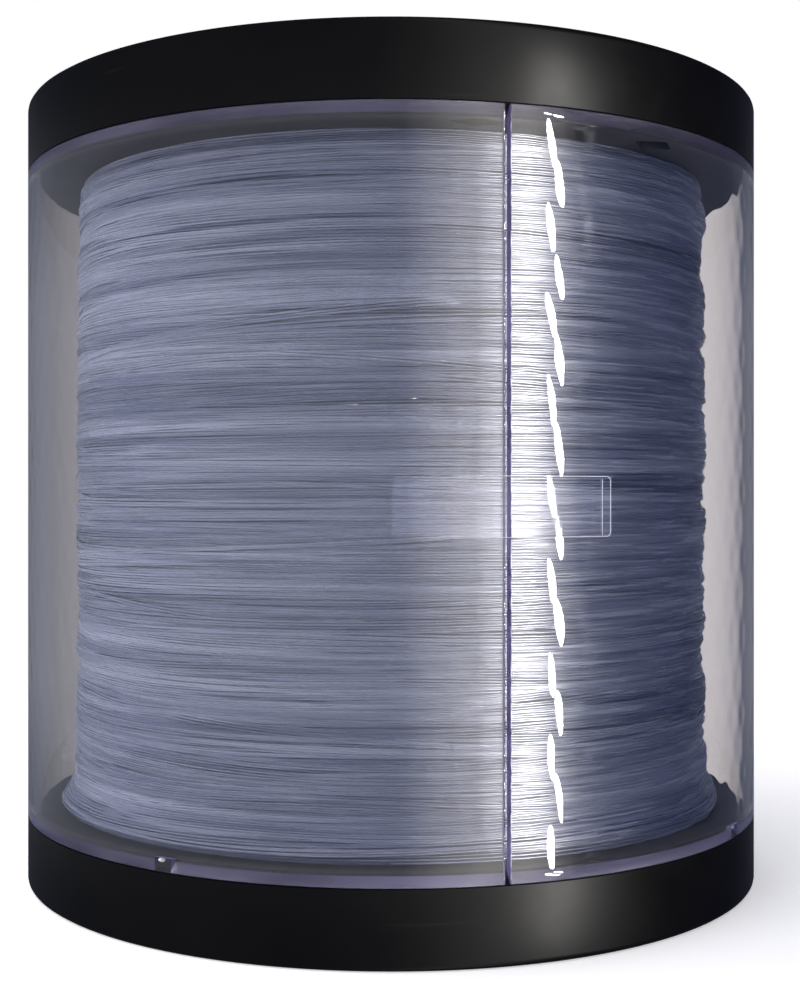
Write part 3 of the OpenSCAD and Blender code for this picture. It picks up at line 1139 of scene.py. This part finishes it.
def studio_world():
    """A world that each kind of ray sees its own way. The camera sees white. Reflections see a
    dim room, pale at the front and left and deep blue at the right, with a bright window at the
    front right. Matt surfaces get a fill from the front left. Straight through the clear cover
    there is a soft grey, and through both of its walls a tone that is darker at the left."""
    world = bpy.data.worlds.new("studio")
    world.use_nodes = True
    bpy.context.scene.world = world
    tree = world.node_tree
    coords = node(tree, "ShaderNodeTexCoord")
    axes = node(tree, "ShaderNodeSeparateXYZ", {0: coords.outputs["Generated"]})
    back = maths(tree, "MULTIPLY", axes.outputs["Y"], -1.0)
    azimuth = maths(tree, "ARCTAN2", axes.outputs["X"], back)
    path = node(tree, "ShaderNodeLightPath")
    walls = path.outputs["Transmission Depth"]

    def turn(low, high, to_low, to_high):
        """Value that changes between two directions, in degrees from the front to the right."""
        return remap(tree, azimuth, math.radians(low), math.radians(high), to_low, to_high)

    # Room and window, for reflections
    right_end = turn(40, 57, 1.0, 0.0)
    right_side = maths(tree, "MAXIMUM", right_end, turn(122, 150, 0.0, 0.3))
    left_end = turn(-145, -58, 0.32, 1.0)
    level = remap(tree, maths(tree, "ABSOLUTE", axes.outputs["Z"]), 0.12, 0.27, 1.0, 0.28)
    side = maths(tree, "MULTIPLY", level, maths(tree, "MINIMUM", left_end, right_side))
    room = mix_colours(tree, side, (0.006, 0.012, 0.05), (0.60, 0.62, 0.66))
    one_wall = maths(tree, "COMPARE", walls, 2.0)
    window = maths(tree, "MULTIPLY", turn(4, 27, 0.0, 2.7), right_end)
    window = maths(tree, "MULTIPLY", window, maths(tree, "SUBTRACT", 1.0, one_wall))
    warm = {0: (1.06, 1.0, 0.93), "Scale": window}
    glow = node(tree, "ShaderNodeVectorMath", warm, operation="SCALE").outputs[0]
    room = node(tree, "ShaderNodeVectorMath", {0: room, 1: glow}, operation="ADD").outputs[0]

    # Fill, for matt surfaces
    from_left = maths(tree, "MINIMUM", turn(-72, -2, 1.0, 0.0), left_end)
    fill = mix_colours(tree, from_left, (0.030, 0.046, 0.135), (2.80, 2.76, 2.72))

    # What shows straight through one wall of the cover, and through two
    across = remap(tree, axes.outputs["X"], -0.35, 0.35, 0.0, 1.0)
    behind = mix_colours(tree, across, (0.21, 0.20, 0.205), (0.94, 0.88, 0.85))
    away = remap(tree, axes.outputs["Y"], 0.1, 0.3, 0.0, 1.0)
    two_walls = maths(tree, "MULTIPLY", away, remap(tree, walls, 2.5, 3.5, 0.0, 1.0))
    behind = mix_colours(tree, two_walls, (0.74, 0.74, 0.76), behind)
    straight = maths(tree, "LESS_THAN", path.outputs["Glossy Depth"], 0.5)
    seen_past = maths(tree, "MULTIPLY", path.outputs["Is Transmission Ray"], straight)

    lit = mix_colours(tree, path.outputs["Is Diffuse Ray"], room, fill)
    through = mix_colours(tree, seen_past, lit, behind)
    seen = mix_colours(tree, path.outputs["Is Camera Ray"], through, (1.0, 1.0, 1.0))
    tree.links.new(seen, tree.nodes["Background"].inputs["Color"])


def camera():
    """Level camera close to the spool, at half its height, shifted a hair off the middle."""
    data = bpy.data.cameras.new("camera")
    data.sensor_width = 36.0
    data.lens = 52.85
    data.shift_x, data.shift_y = 0.009, -0.006
    data.clip_start = 0.01
    distance = 4.167 * SPOOL_R
    cam = add_object("camera", data)
    cam.location = (0, -distance, MID_Z)
    cam.rotation_euler = (math.pi / 2, 0, 0)
    bpy.context.scene.camera = cam


stage_floor()
studio_world()
lamp_columns()
soft_top = area_light("soft_top", -40.0, 0.35, 0.60, (0.6, 0.6), 0.7, (0.97, 0.98, 1.0))
hide_from(soft_top, "glossy", "transmission")
camera()
view = bpy.context.scene.view_settings
view.view_transform = "Standard"
view.look = "None"
